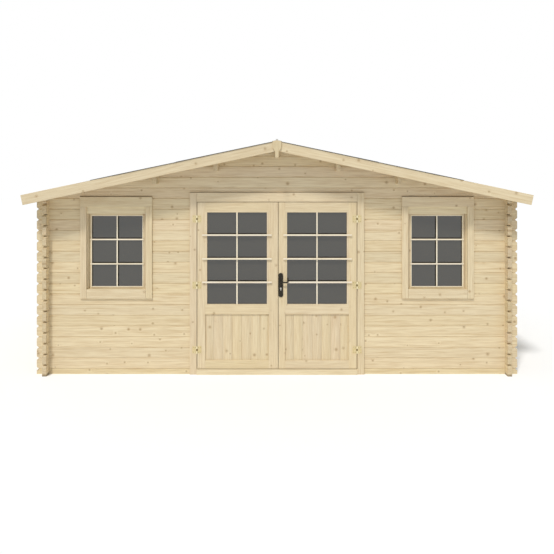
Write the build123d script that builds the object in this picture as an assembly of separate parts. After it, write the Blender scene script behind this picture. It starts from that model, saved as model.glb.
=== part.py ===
from build123d import *

import os
from math import cos, pi, radians, sin, tan

# A garden shed of interlocking logs: gable roof, glazed double door, two windows.
# X runs along the front, Y from front to back, Z up. The origin is on the ground, at the middle.
# All lengths are millimetres.

# Logs and walls
house_width = 4970.0
house_depth = 3970.0
log_thickness = 44.0
log_cover = 114.0
log_end = 88.0
groove_depth = 6.0
groove_height = 11.0
end_bevel_depth = 21.0
end_bevel_height = 38.0
joint_slit_height = 10.0
joint_slit_depth = 34.0
side_courses = 17
top_planing = 4.0

# Roof
roof_pitch = 12.0
eave_overhang = 134.0
gable_overhang = 250.0
roof_board = 19.0
felt = 6.0
felt_lip = 8.0
cap_width = 45.0
cap_thickness = 3.0
roll_width = 22.0
roll_height = 12.0
purlin_width = 44.0
purlin_depth = 150.0
purlin_spacing = 645.0
purlin_overhang = 150.0
barge_width = 102.0
barge_thickness = 20.0
barge_mitre_gap = 1.0
fascia_width = 85.0
fascia_thickness = 20.0
finial_width = 95.0
finial_tip = 37.0
finial_shoulder = 75.0
finial_waist = 119.0
finial_height = 171.0
finial_thickness = 18.0

# Floor
joist_width = 45.0
joist_depth = 38.0
joist_count = 9
deck_thickness = 19.0
deck_gap = 8.0

# Trim boards and linings shared by the door and the windows
trim_thickness = 20.0
trim_joint = 1.0
lining = 28.0
glass_thickness = 4.0
glass_bite = 8.0
window_kerf_height = 9.0
door_kerf_height = 4.5
drip_kerf_depth = 18.0

# Windows, placed between the door's trim and the side wall; their trim rises over the door's joint
window_place_share = 0.522
window_width = 770.0
window_height = 1087.0
window_rise = 17.0
window_side_trim = 68.0
window_top_trim = 106.0
window_bottom_trim = 98.0
window_head = 75.0
sash_thickness = 40.0
sash_stile = 45.5
sash_rail = 26.0

# Door frame
door_half_width = 858.0
door_side_trim = 75.0
door_head_trim = 98.0
door_head_depth = 36.0
threshold_height = 57.0
threshold_lip = 18.0
threshold_nose = 12.0
door_stop = 22.0
door_clearance = 6.5
door_lift = 5.3
stop_clearance = 5.0

# Door leaves
leaf_thickness = 40.0
meeting_gap = 5.3
meeting_offset = 13.0
outer_stile = 105.0
glass_inner = 108.0
top_rail = 108.0
middle_rail = 108.0
bottom_rail = 96.0
panel_height = 485.0
panel_thickness = 15.0
panel_setback = 8.0
panel_bite = 10.0
panel_widening = 20.0

# Hinges, placed up the height of the leaf
hinge_place_shares = (0.114, 0.502, 0.9)
knuckle_sides = 10
hinge_height = 76.0
hinge_flap = 48.0
hinge_sheet = 2.5
knuckle_radius = 7.0
knuckle_proud = 7.5
knuckle_back = 0.5
knuckle_gap = 2.5
pin_radius = 3.5
pin_clearance = 0.1
flap_clearance = 1.5

# Door furniture
plate_edge = 1.0
lever_height = 988.0
plate_drop = 158.0
plate_height = 255.0
plate_width = 48.0
plate_foot_width = 30.0
plate_foot_height = 16.0
plate_thickness = 8.0
neck_radius = 9.0
neck_length = 34.0
neck_clearance = 0.1
lever_length = 76.0
lever_sides = 12
lever_radius = 7.5
lever_bend = 14.0
lever_tip = 36.0
spindle_radius = 5.0
spindle_hole = 10.0
lever_to_cylinder = 66.0
cylinder_radius = 8.5
cylinder_tail = 5.0
cylinder_drop = 22.0
cylinder_proud = 3.0
cylinder_clearance = 0.2
cut_overrun = 10.0

# Places worked out from the sizes above
half_width = house_width / 2
half_depth = house_depth / 2
inner_half_width = half_width - log_thickness
inner_half_depth = half_depth - log_thickness
log_reach_x = half_width + log_end
log_reach_y = half_depth + log_end
pitch = radians(roof_pitch)
eave_height = side_courses * log_cover - top_planing
ridge_underside = eave_height + tan(pitch) * half_width
slope_length = (half_width + eave_overhang) / cos(pitch)
roof_reach_y = half_depth + gable_overhang
barge_face_y = roof_reach_y + barge_thickness
barge_peak = ridge_underside + roof_board / cos(pitch)
cap_top = ridge_underside + (roof_board + felt + cap_thickness) / cos(pitch)
purlin_reach_y = half_depth + purlin_overhang
split_height = (side_courses - 1) * log_cover + log_cover / 2
trim_face_y = half_depth + trim_thickness
inner_trim_y = inner_half_depth - trim_thickness
floor_top = joist_depth + deck_thickness

door_trim_edge = door_half_width + door_side_trim
window_center = door_trim_edge + window_place_share * (inner_half_width - door_trim_edge)
window_top = split_height + window_rise
window_bottom = window_top - window_height
window_opening_half = window_width / 2 - window_side_trim
window_opening_low = window_bottom + window_bottom_trim
window_opening_high = window_top - window_top_trim
sash_top = window_opening_high - window_head
sash_front_y = inner_trim_y + sash_thickness

leaf_outer = door_half_width - door_clearance
leaf_bottom = threshold_height + door_lift
door_head_low = split_height - door_head_depth
leaf_top = door_head_low - door_lift
leaf_back_y = trim_face_y - leaf_thickness
stop_y = leaf_back_y - stop_clearance
leaf_glass_outer = leaf_outer - outer_stile
panel_low = leaf_bottom + bottom_rail
panel_high = panel_low + panel_height
glass_low = panel_high + middle_rail
glass_high = leaf_top - top_rail
door_trim_top = door_head_low + door_head_trim
hinge_heights = [leaf_bottom + share * (leaf_top - leaf_bottom) for share in hinge_place_shares]
hinge_x = door_half_width - door_clearance / 2
hinge_y = trim_face_y + knuckle_proud
handle_x = meeting_offset + meeting_gap / 2 + plate_edge + plate_width / 2
plate_bottom = lever_height - plate_drop
cylinder_height = lever_height - lever_to_cylinder


def block(x0, x1, y0, y1, z0, z1):
    """A block between two corners, given in any order."""
    size = Box(abs(x1 - x0), abs(y1 - y0), abs(z1 - z0))
    return Pos((x0 + x1) / 2, (y0 + y1) / 2, (z0 + z1) / 2) * size


def along_x(points, x0, x1):
    """A section in Y and Z, run along the front."""
    return extrude(Pos(x0, 0, 0) * (Plane.YZ * Polygon(*points, align=None)), x1 - x0, dir=(1, 0, 0))


def along_y(points, y0, y1):
    """An outline in X and Z, run from front to back."""
    return extrude(Pos(0, y0, 0) * (Plane.XZ * Polygon(*points, align=None)), y1 - y0, dir=(0, 1, 0))


def left_of(part):
    """The same piece on the other side of the house."""
    return mirror(part, about=Plane.YZ)


def behind(part):
    """The same piece at the back of the house."""
    return mirror(part, about=Plane.XZ)


def mirror_points(points):
    """An outline carried on over the middle, back to its start."""
    return points + [(-x, z) for x, z in reversed(points)]


def roof_z(x):
    """Height of the roof boards' underside."""
    return ridge_underside - tan(pitch) * abs(x)


def on_slope(along, above):
    """A point of the right slope: down it from the ridge, and square off the boards' underside."""
    return (along * cos(pitch) + above * sin(pitch),
            ridge_underside - along * sin(pitch) + above * cos(pitch))


def slope_strip(reach, low, high, start=0.0):
    """Outline of a layer of the right slope, cut plumb near the ridge and square at the eave."""
    plumb = start * tan(pitch)
    return [(start, ridge_underside + low / cos(pitch) - plumb), on_slope(reach, low),
            on_slope(reach, high), (start, ridge_underside + high / cos(pitch) - plumb)]


def cylinder_y(x, z, radius, y0, y1):
    """A round piece that runs from front to back."""
    disc = Pos(x, y0, z) * (Plane.XZ * Circle(radius))
    return extrude(disc, y1 - y0, dir=(0, 1, 0))


def joints_below(first, top):
    """Heights where two logs of a wall meet."""
    return [first + log_cover * n for n in range(int((top - first) / log_cover) + 1)]


def log_section(near, far, near_top, far_top, joints):
    """Section through a wall of logs, with a V where two logs meet on either face."""
    half = groove_height / 2
    near_side = [(near, 0)]
    far_side = [(far, 0)]
    for z in joints:
        near_side += [(near, z - half), (near + groove_depth, z), (near, z + half)]
        far_side += [(far, z - half), (far - groove_depth, z), (far, z + half)]
    return near_side + [(near, near_top), (far, far_top)] + far_side[::-1]


def bevelled_end(reach, joints, top, valley):
    """Points up the end of a wall: each log's end is bevelled, down to a valley between it and the next."""
    half = end_bevel_height / 2
    points = [(reach, 0)]
    for z in joints:
        if z + half < top:
            points.append((reach, z - half))
            points += [(reach - depth, z + rise) for depth, rise in valley]
            points.append((reach, z + half))
    return points + [(reach, top)]


def crossings(first, count):
    """Heights of the half-log notches where two walls pass through each other."""
    return [(first + log_cover * n, first + log_cover * n + log_cover / 2) for n in range(count)]


def side_wall():
    """The right wall: whole logs from the ground up, planed to the roof's slope, with slits at the ends."""
    top = roof_z(inner_half_width)
    joints = joints_below(log_cover, eave_height - log_cover / 4)
    section = log_section(inner_half_width, half_width, top, roof_z(half_width), joints)
    slit = joint_slit_height / 2
    deep = end_bevel_depth + joint_slit_depth
    valley = [(end_bevel_depth, -slit), (deep, 0), (end_bevel_depth, slit)]
    outline = mirror_points(bevelled_end(log_reach_y, joints, top, valley))
    wall = along_y(section, -log_reach_y, log_reach_y) & along_x(outline, inner_half_width, half_width)
    notches = []
    for low, high in crossings(-log_cover / 4, len(joints) + 2):
        for y in (half_depth, -inner_half_depth):
            notches.append(block(inner_half_width, half_width, y, y - log_thickness, low, high))
    return wall - notches


def gable_wall():
    """The front wall before its openings: a half log on the ground, then whole logs to the ridge."""
    joints = joints_below(log_cover / 2, ridge_underside - log_cover / 4)
    section = log_section(-half_depth, -inner_half_depth, ridge_underside, ridge_underside, joints)
    end_top = roof_z(log_reach_x)
    end = bevelled_end(log_reach_x, joints_below(log_cover / 2, end_top), end_top, [(end_bevel_depth, 0)])
    outline = mirror_points(end + [(0, ridge_underside)])
    wall = along_x(section, -log_reach_x, log_reach_x) & along_y(outline, -half_depth, -inner_half_depth)
    notches = []
    for low, high in crossings(log_cover / 4, len(joints)):
        for x in (half_width, -inner_half_width):
            notches.append(block(x, x - log_thickness, -half_depth, -inner_half_depth, low, high))
    return wall - notches


def purlin(x):
    """A roof beam under the boards, its top planed to the slope."""
    half = purlin_width / 2
    low = roof_z(x) - purlin_depth
    top = [(x + half, roof_z(x + half)), (x - half, roof_z(x - half))]
    if x == 0:
        top.insert(1, (x, roof_z(x)))
    return along_y(top + [(x - half, low), (x + half, low)], -purlin_reach_y, purlin_reach_y)


def ring(half, low, high, inner_half, inner_low, inner_high, y0, y1):
    """An upright frame round an opening."""
    outer = block(-half, half, y0, y1, low, high)
    return outer - block(-inner_half, inner_half, y0, y1, inner_low, inner_high)


def window_trims():
    """The boards round the opening outside and inside: the top one lies across the side ones."""
    half = window_width / 2
    side_top = window_opening_high - trim_joint
    boards = []
    for y0, y1 in ((-trim_face_y, -half_depth), (-inner_half_depth, -inner_trim_y)):
        boards.append(block(-half, half, y0, y1, window_opening_high, window_top))
        for x in (-half, half - window_side_trim):
            boards.append(block(x, x + window_side_trim, y0, y1, window_bottom, side_top))
        between = window_opening_half - trim_joint
        boards.append(block(-between, between, y0, y1, window_bottom, window_opening_low))
    return boards


def window_frame():
    """The lining of the window's opening, with its deeper head."""
    frame = ring(window_opening_half + lining, window_opening_low - lining, window_opening_high + lining,
                 window_opening_half, window_opening_low, sash_top, -half_depth, -inner_half_depth)
    return frame + block(-window_opening_half, window_opening_half, -inner_half_depth, -inner_trim_y,
                         sash_top, window_opening_high)


def drip_kerf(half, z, height):
    """The saw cut in the wall that takes the weather strip over a head trim."""
    return block(-half, half, -half_depth - cut_overrun, -half_depth + drip_kerf_depth, z, z + height)


def window_hole():
    """What the wall loses for one window, with the cut over its trim."""
    reach = window_opening_half + lining
    hole = block(-reach, reach, -half_depth - cut_overrun, -inner_half_depth + cut_overrun,
                 window_opening_low - lining, window_opening_high + lining)
    return hole + drip_kerf(window_width / 2, window_top, window_kerf_height)


def groove_plate(x0, x1, z0, z1, bite, y, thickness):
    """A sheet that reaches into a groove all round its opening."""
    return block(x0 - bite, x1 + bite, y, y + thickness, z0 - bite, z1 + bite)


def window_glass():
    """The pane, held in the middle of the sash."""
    half = window_opening_half - sash_stile
    y = -sash_front_y + (sash_thickness - glass_thickness) / 2
    return groove_plate(-half, half, window_opening_low + sash_rail, sash_top - sash_rail,
                        glass_bite, y, glass_thickness)


def window_sash():
    """The frame that holds the pane, set deep in the opening."""
    frame = ring(window_opening_half, window_opening_low, sash_top,
                 window_opening_half - sash_stile, window_opening_low + sash_rail, sash_top - sash_rail,
                 -sash_front_y, -inner_trim_y)
    return frame - window_glass()


def door_frame_side():
    """The right post of the door frame, with the stop that the leaf closes against."""
    wall_end = door_half_width + lining
    post = block(door_half_width, wall_end, -half_depth, -inner_half_depth, 0, split_height)
    stop = block(door_half_width - door_stop, door_half_width, -stop_y, -inner_half_depth,
                 threshold_height + threshold_lip, door_head_low)
    return post + stop


def door_frame_head():
    """The head of the door frame, with its stop."""
    half = door_half_width
    beam = block(-half, half, -half_depth, -inner_half_depth, door_head_low, split_height)
    half -= door_stop
    return beam + block(-half, half, -stop_y, -inner_half_depth, door_head_low - door_stop, door_head_low)


def door_threshold():
    """The sill under the leaves, with a lip behind them and a nose in front."""
    nose = -trim_face_y - threshold_nose
    section = [(nose, 0), (-inner_half_depth, 0), (-inner_half_depth, threshold_height + threshold_lip),
               (-stop_y, threshold_height + threshold_lip), (-stop_y, threshold_height),
               (nose, threshold_height)]
    return along_x(section, -door_half_width, door_half_width)


def door_trims():
    """The boards over the joint of frame and wall: two tall ones with the head between them."""
    boards = []
    for y0, y1, low in ((-trim_face_y, -half_depth, 0), (-inner_half_depth, -inner_trim_y, floor_top)):
        for x in (-door_half_width - door_side_trim, door_half_width):
            boards.append(block(x, x + door_side_trim, y0, y1, low, door_trim_top))
        between = door_half_width - trim_joint
        boards.append(block(-between, between, y0, y1, door_head_low, door_trim_top))
    return boards


def leaf_span(side):
    """From the meeting edge to the hinge edge of one leaf; side is 1 on the right, -1 on the left."""
    return meeting_offset + side * meeting_gap / 2, side * leaf_outer


def leaf_glass(side):
    """The leaf's pane, in a groove."""
    low, high = sorted((side * glass_inner, side * leaf_glass_outer))
    y = -trim_face_y + (leaf_thickness - glass_thickness) / 2
    return groove_plate(low, high, glass_low, glass_high, glass_bite, y, glass_thickness)


def leaf_panel(side):
    """The boarded panel under the pane, in a groove."""
    low, high = sorted((side * (glass_inner - panel_widening), side * (leaf_glass_outer + panel_widening)))
    return groove_plate(low, high, panel_low, panel_high, panel_bite, panel_setback - trim_face_y,
                        panel_thickness)


def leaf_frame(side):
    """Stiles and rails of one leaf, grooved for the pane and the panel."""
    meeting, hinge = leaf_span(side)
    frame = block(meeting, hinge, -trim_face_y, -leaf_back_y, leaf_bottom, leaf_top)
    y0 = -trim_face_y - cut_overrun
    y1 = -leaf_back_y + cut_overrun
    frame -= block(side * glass_inner, side * leaf_glass_outer, y0, y1, glass_low, glass_high)
    frame -= block(side * (glass_inner - panel_widening), side * (leaf_glass_outer + panel_widening),
                   y0, y1, panel_low, panel_high)
    return frame - leaf_glass(side) - leaf_panel(side)


def lever_bore(radius):
    """A round hole through the right leaf at the lever."""
    return cylinder_y(handle_x, lever_height, radius, -trim_face_y - neck_length, -leaf_back_y + neck_length)


def lock_cylinder(proud, room=0):
    """The key cylinder: round at the top, with a narrower tail below; room is added for its hole."""
    y0 = -trim_face_y - plate_thickness - proud
    y1 = -leaf_back_y + plate_thickness + proud
    tail = block(handle_x - cylinder_tail - room, handle_x + cylinder_tail + room, y0, y1,
                 cylinder_height - cylinder_drop - room, cylinder_height)
    return cylinder_y(handle_x, cylinder_height, cylinder_radius + room, y0, y1) + tail


def handle_plates():
    """The long plates on either face of the right leaf: round at the top, drawn in at the foot."""
    half = plate_width / 2
    foot = plate_foot_width / 2
    top = plate_bottom + plate_height - half
    outline = [(handle_x + x, z) for x, z in mirror_points(
        [(foot, plate_bottom), (half, plate_bottom + plate_foot_height), (half, top)])]
    holes = [lever_bore(neck_radius + neck_clearance), lock_cylinder(cylinder_proud, cylinder_clearance)]
    plates = []
    for y0 in (-trim_face_y - plate_thickness, -leaf_back_y):
        y1 = y0 + plate_thickness
        plate = along_y(outline, y0, y1) + cylinder_y(handle_x, top, half, y0, y1)
        plates.append(plate - holes)
    return plates


def handle_lever():
    """The lever outside and inside, each with its tip turned up, on one spindle through the leaf."""
    outside = -trim_face_y - plate_thickness - neck_length
    inside = -leaf_back_y + plate_thickness + neck_length
    lever = cylinder_y(handle_x, lever_height, spindle_radius, outside, inside)
    for end, face, sign in ((outside, -trim_face_y, 1), (inside, -leaf_back_y, -1)):
        lever += cylinder_y(handle_x, lever_height, neck_radius, *sorted((end, face)))
        middle = end + sign * lever_radius
        tip_x = handle_x + lever_length
        line = FilletPolyline((handle_x, middle, lever_height), (tip_x, middle, lever_height),
                              (tip_x, middle, lever_height + lever_tip), radius=lever_bend)
        section = Plane.YZ * RegularPolygon(lever_radius, lever_sides)
        lever += sweep(Pos(handle_x, middle, lever_height) * section, path=line)
    return lever


def knuckle(radius, z0, z1):
    """A rolled length of a right hinge round its pin, with a few flat sides."""
    return extrude(Pos(hinge_x, -hinge_y, z0) * RegularPolygon(radius, knuckle_sides), z1 - z0, dir=(0, 0, 1))


def frame_hinge(z):
    """The half of a right hinge on the frame: flap, two knuckles and the pin."""
    third = hinge_height / 3
    low = z - hinge_height / 2
    start = hinge_x + knuckle_radius + flap_clearance
    face = -trim_face_y - hinge_sheet
    half = block(start, hinge_x + hinge_flap, face, -trim_face_y, low, low + hinge_height)
    for base in (low, low + 2 * third):
        half += knuckle(knuckle_radius, base, base + third)
        half += block(hinge_x, start, face, -trim_face_y - knuckle_back, base, base + third)
    return half + knuckle(pin_radius, low, low + hinge_height)


def leaf_hinge(z):
    """The half of a right hinge on the leaf: flap and the middle knuckle, bored for the pin."""
    third = hinge_height / 3
    low = z - hinge_height / 2
    start = hinge_x - knuckle_radius - flap_clearance
    face = -trim_face_y - hinge_sheet
    half = block(hinge_x - hinge_flap, start, face, -trim_face_y, low, low + hinge_height)
    base = low + third + knuckle_gap
    top = low + 2 * third - knuckle_gap
    half += knuckle(knuckle_radius, base, top)
    half += block(start, hinge_x, face, -trim_face_y - knuckle_back, base, top)
    bore = (pin_radius + pin_clearance) / cos(pi / knuckle_sides)
    return half - knuckle(bore, base, top)


def finial():
    """The shield-shaped board over the joint of the bargeboards, with a tongue below, just under the felt."""
    half = finial_width / 2
    tip = finial_tip / 2
    side = [(tip, barge_peak - finial_height), (tip, barge_peak - finial_waist),
            (half, barge_peak - finial_shoulder), (half, barge_peak - half * tan(pitch))]
    outline = mirror_points(side + [(0, barge_peak)])
    return along_y(outline, -barge_face_y - finial_thickness, -barge_face_y)


def ridge_cap(reach):
    """The strip over the joint of the felt, with a roll along its middle."""
    cover = roof_board + felt
    strip = along_y(slope_strip(cap_width, cover, cover + cap_thickness), -reach, reach)
    half = roll_width / 2
    base = cap_top - half * tan(pitch)
    return strip + left_of(strip) + block(-half, half, -reach, reach, base, base + roll_height)


def floor_joists():
    """Bearers on the ground, from the front wall to the back one."""
    step = (2 * inner_half_width - joist_width) / (joist_count - 1)
    joists = []
    for n in range(joist_count):
        x = -inner_half_width + n * step
        joists.append(block(x, x + joist_width, -inner_half_depth, inner_half_depth, 0, joist_depth))
    return joists


def floor_deck():
    """The floor boards, clear of the walls all round."""
    x = inner_half_width - deck_gap
    y = inner_half_depth - deck_gap
    return block(-x, x, -y, y, joist_depth, floor_top)


def save(name, *pieces):
    """One file for each named piece or set of like pieces."""
    solids = [solid for piece in pieces for solid in piece.solids()]
    export_step(Compound(solids) if len(solids) > 1 else solids[0], f"parts/{name}.step")


def both_windows(name, *pieces):
    """A window's pieces, on the right and on the left of the door."""
    save(f"right_window_{name}", *[Pos(window_center, 0, 0) * piece for piece in pieces])
    save(f"left_window_{name}", *[Pos(-window_center, 0, 0) * piece for piece in pieces])


def make_walls():
    """Four walls; the front one is split beside and over the doorway."""
    side = side_wall()
    save("right_wall", side)
    save("left_wall", left_of(side))
    beams = [purlin(n * purlin_spacing) for n in range(-2, 3)]
    gable = gable_wall() - beams
    save("back_wall", behind(gable))
    wall_end = door_half_width + lining
    y0 = -half_depth - cut_overrun
    y1 = -inner_half_depth + cut_overrun
    doorway = block(-wall_end, wall_end, y0, y1, 0, split_height)
    holes = [Pos(side * window_center, 0, 0) * window_hole() for side in (-1, 1)]
    front = gable - holes - doorway - drip_kerf(door_trim_edge, door_trim_top, door_kerf_height)
    save("front_wall_left", front & block(-log_reach_x, -wall_end, y0, y1, 0, split_height))
    save("front_wall_right", front & block(wall_end, log_reach_x, y0, y1, 0, split_height))
    save("front_gable", front & block(-log_reach_x, log_reach_x, y0, y1, split_height, ridge_underside))
    save("ridge_purlin", beams[2])
    save("side_purlins", *beams[:2], *beams[3:])


def make_roof():
    """Boards, felt and edge boards of both slopes."""
    boards = along_y(slope_strip(slope_length, 0, roof_board), -roof_reach_y, roof_reach_y)
    felt_reach = slope_length + fascia_thickness + felt_lip
    felt_y = barge_face_y + felt_lip
    sheet = along_y(slope_strip(felt_reach, roof_board, roof_board + felt), -felt_y, felt_y)
    barge = along_y(slope_strip(slope_length + fascia_thickness, roof_board - barge_width, roof_board,
                                barge_mitre_gap / 2), -barge_face_y, -roof_reach_y)
    edge = [on_slope(slope_length, roof_board), on_slope(slope_length + fascia_thickness, roof_board),
            on_slope(slope_length + fascia_thickness, roof_board - fascia_width),
            on_slope(slope_length, roof_board - fascia_width)]
    fascia = along_y(edge, -roof_reach_y, roof_reach_y)
    save("right_roof_boards", boards)
    save("left_roof_boards", left_of(boards))
    save("right_roof_felt", sheet)
    save("left_roof_felt", left_of(sheet))
    save("ridge_cap", ridge_cap(felt_y))
    save("front_bargeboards", barge, left_of(barge))
    save("back_bargeboards", behind(barge), behind(left_of(barge)))
    save("eave_fascias", fascia, left_of(fascia))
    save("finials", finial(), behind(finial()))


def make_door():
    """Frame, leaves, hinges and furniture of the double door."""
    post = door_frame_side()
    save("door_frame_right", post)
    save("door_frame_left", left_of(post))
    save("door_frame_head", door_frame_head())
    save("door_threshold", door_threshold())
    save("door_trims", *door_trims())
    through = [lever_bore(spindle_hole), lock_cylinder(0, cylinder_clearance)]
    for side, name in ((1, "right"), (-1, "left")):
        leaf = leaf_frame(side)
        save(f"{name}_door_leaf", leaf - through if side == 1 else leaf)
        save(f"{name}_door_panel", leaf_panel(side))
        save(f"{name}_door_glass", leaf_glass(side))
    on_frame = [frame_hinge(z) for z in hinge_heights]
    on_leaf = [leaf_hinge(z) for z in hinge_heights]
    save("right_frame_hinges", *on_frame)
    save("right_leaf_hinges", *on_leaf)
    save("left_frame_hinges", *[left_of(half) for half in on_frame])
    save("left_leaf_hinges", *[left_of(half) for half in on_leaf])
    save("handle_plates", *handle_plates())
    save("handle_lever", handle_lever())
    save("lock_cylinder", lock_cylinder(cylinder_proud))


os.makedirs("parts", exist_ok=True)
make_walls()
make_roof()
make_door()
both_windows("trims", *window_trims())
both_windows("frame", window_frame())
both_windows("sash", window_sash())
both_windows("glass", window_glass())
save("floor_joists", *floor_joists())
save("floor_deck", floor_deck())
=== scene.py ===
import math
import random

import bmesh
import bpy
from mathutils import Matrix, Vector


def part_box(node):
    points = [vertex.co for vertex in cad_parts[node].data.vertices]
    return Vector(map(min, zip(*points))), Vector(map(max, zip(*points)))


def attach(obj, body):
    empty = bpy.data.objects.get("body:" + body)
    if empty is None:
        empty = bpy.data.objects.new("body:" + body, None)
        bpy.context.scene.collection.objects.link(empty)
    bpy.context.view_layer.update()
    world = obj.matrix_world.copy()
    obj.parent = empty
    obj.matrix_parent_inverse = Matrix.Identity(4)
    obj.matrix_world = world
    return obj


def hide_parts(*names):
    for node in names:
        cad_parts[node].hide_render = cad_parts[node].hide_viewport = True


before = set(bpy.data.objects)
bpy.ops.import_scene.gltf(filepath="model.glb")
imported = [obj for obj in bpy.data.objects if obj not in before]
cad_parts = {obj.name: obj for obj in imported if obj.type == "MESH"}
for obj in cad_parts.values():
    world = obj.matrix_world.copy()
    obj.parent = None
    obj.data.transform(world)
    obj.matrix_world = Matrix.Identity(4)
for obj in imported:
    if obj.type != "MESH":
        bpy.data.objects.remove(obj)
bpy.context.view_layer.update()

# Camera and light
CAMERA_PLACE = (0.0, -8.885, 2.11)
CAMERA_LENS = 41.86
CAMERA_SHIFT = (0.0, -0.1805)
SUN_LEFT = 21.5
SUN_HEIGHT = 55.3
SUN_STRENGTH = 2.07
SUN_WIDTH = 8.0
SUN_TINT = (1.0, 0.985, 0.965)
SKY_TINT = (0.463, 0.490, 0.516)
FLOOR_SIZE = 90.0

# Logs
LOG_COVER = 0.114
LOG_HALF = LOG_COVER / 2
LOG_END_BEVEL = 0.021
# Painted light and shade at the foot of the logs: paler towards the ground as if lit from the floor, and a
# dark band along the lowest edge of the side logs
FOOT_LIGHT_HEIGHT = 0.65
FOOT_PAINTED_LIGHT = 0.06
FOOT_SHADE_HEIGHT = 0.032
FOOT_PAINTED_SHADE = 0.9
PURLIN_END = 0.004

# Roof
ROOF_PITCH = math.radians(12.0)
ROOF_BOARD = 0.019
ROOF_BOARD_WIDTH = 0.096
FELT = 0.006
FELT_SHEET = 0.003
FELT_STRIPS = 3
FELT_LAP = 0.16
FELT_TAPER = 0.3
BARGE_WIDTH = 0.102
BARGE_MITRE = 0.0005
BARGE_RISE = 0.25
FINIAL_TRIM = 0.003
FASCIA_WIDTH = 0.085
FASCIA_THICKNESS = 0.020
FINIAL_SHOULDER = 0.075
FINIAL_WAIST = 0.119
FINIAL_TIP = 0.037
FINIAL_THICKNESS = 0.018

# Floor
FLOOR_BOARD_WIDTH = 0.121

# Windows
TRIM = 0.020
TRIM_JOINT = 0.001
WINDOW_SIDE_TRIM = 0.068
WINDOW_TOP_TRIM = 0.106
WINDOW_BOTTOM_TRIM = 0.098
SASH_STILE = 0.0455
SASH_RAIL = 0.026
SASH_CASING = 0.013
SASH_CASING_PROUD = 0.010
SASH_STEP = 0.013
SASH_GAP = 0.007
SASH_GAP_DEPTH = 0.022
SASH_FOOT_GAP = 0.005
SASH_FOOT_DEPTH = 0.018
BEAD_WIDTH = 0.009
BEAD_PROUD = 0.004
WINDOW_BAR_LAP = 0.016

# Door
DOOR_SIDE_TRIM = 0.075
DOOR_HEAD_TRIM = 0.098
OUTER_STILE = 0.085
PANE_STRIP = 0.020
GLASS_INNER = 0.108
TOP_RAIL = 0.108
MIDDLE_RAIL = 0.108
BOTTOM_RAIL = 0.096
PANEL_HEIGHT = 0.485
PANEL_BOARDS = 7
PANEL_STEP = 0.005
PANEL_GAP = 0.006
PANEL_GAP_DEPTH = 0.016
DOOR_BAR_LAP = 0.052
DOOR_BAR_LAP_BY_HANDLE = 0.040

# Hinges
HINGE_PLACE_SHARES = (0.114, 0.502, 0.9)
HINGE_SHEET = 0.0025
# How far from the hinge's axis the knuckles get their painted highlight or painted shade
HINGE_BARREL = 0.008
HINGE_AXIS = (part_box("right_frame_hinges")[0][0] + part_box("right_leaf_hinges")[1][0]) / 2
SCREW_REACHES = (0.018, 0.038)
SCREW_RISE = 0.026
SCREW_RADIUS = 0.0042
SCREW_HEIGHT = 0.0016
SCREW_TOP_SHARE = 0.6
SCREW_SIDES = 10

# Glazing bars
BAR_WIDTH = 0.0142
WINDOW_CROSS_BAR = 0.0145
WINDOW_BAR_SHARES = (0.319, 0.6655)
# Painted shade on the panes: how far the dark strips rise above the bars, shift towards the door, and reach
# in from the outer edge
WINDOW_SHADE_RISE = 0.012
WINDOW_SHADE_SHIFT = 0.011
WINDOW_EDGE_SHADE = 0.009
DOOR_CROSS_BAR = 0.0165
DOOR_BAR_PROUD = 0.018
DOOR_BAR_SHARES = (0.2405, 0.496, 0.754)
DOOR_SHADE_RISE = 0.009
BAR_THICKNESS = 0.008

# Edges taken off the boards, gaps left between like ones, and seeds of their tones
SOFT_EDGE = 0.0025
FINE_EDGE = 0.0012
FELT_EDGE = FELT_SHEET / 3
ROOF_BOARD_GAP = 0.0015
PANEL_BOARD_GAP = 0.0004
FLOOR_BOARD_GAP = 0.001
BOARD_SEED = 1914
ROOF_SEED = 7
PANEL_SEED = 20
FLOOR_SEED = 41

# Numbers that tell logs, beams and boards apart
FAR_WALL_NUMBER = 31.0
BEAM_SPACING = 0.3
RAIL_SPACING = 0.5
POST_SPACING = 0.2
BOARD_NUMBERS = 97.0
NUMBER_RATE = 3.7
NUMBER_START = 0.4
LOT_RUN = 23.0
LOT_ACROSS = 7.0

# Where the end grain of logs and beams fades in
LOG_END_BLEND = 0.004
BEAM_END_BLEND = 0.002

# How much of the way out from the shed's middle counts as depth in a log
LOG_DEPTH_SHARE = 0.3

# Knots
KNOT_CELL = 0.15
KNOT_LEAST = 0.005
KNOT_MORE = 0.008
KNOT_SOFTNESS = 0.011
KNOT_STRENGTH = 0.52
HALO_REACH = 2.4
HALO_SOFTNESS = 0.016
SWELL_FALL = -2600.0
SWELL_HEIGHT = 0.005

# Growth rings round a pith somewhere behind the board
PITH_ACROSS = 0.11
PITH_NEAREST = 0.015
PITH_DEEPER = 0.06
WANDER_RUN = 0.55
WANDER_ACROSS = 2.0
WANDER_LOT = 40.0
WANDER_WIDTH = 0.03
RING_WIDTH = 0.0062
RING_RAGGED = 0.0012
LATE_SHARPNESS = 3.0

# Streaks along the grain, from fine to broad: rates per metre along and across
FIBRE_RUN = 4.6
FIBRE_ACROSS = 130.0
BAND_RUN = 4.8
BAND_ACROSS = 75.0
BAND_LOT = 5.0
STREAK_RUN = 2.6
STREAK_ACROSS = 30.0
STREAK_LOT = 9.0
NOISE_MEAN = 0.5

# How far each of these turns the pale wood into the deep one
PLAIN_SHADE = 0.2
LATE_SHADE = 0.3
HALO_SHADE = 0.35
FIBRE_SHADE = 1.25
BAND_SHADE = 1.45
STREAK_SHADE = 0.8

# Tone of one board against the next, and of end grain
BOARD_TONE = 0.11
GREEN_TONE = 0.02
GREEN_LEAST = 0.99
BLUE_TONE = 0.09
BLUE_LEAST = 0.95
PORE_RATE = 160.0
PORE_SHADE = 1.1
PORE_LEAST = 0.45

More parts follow.
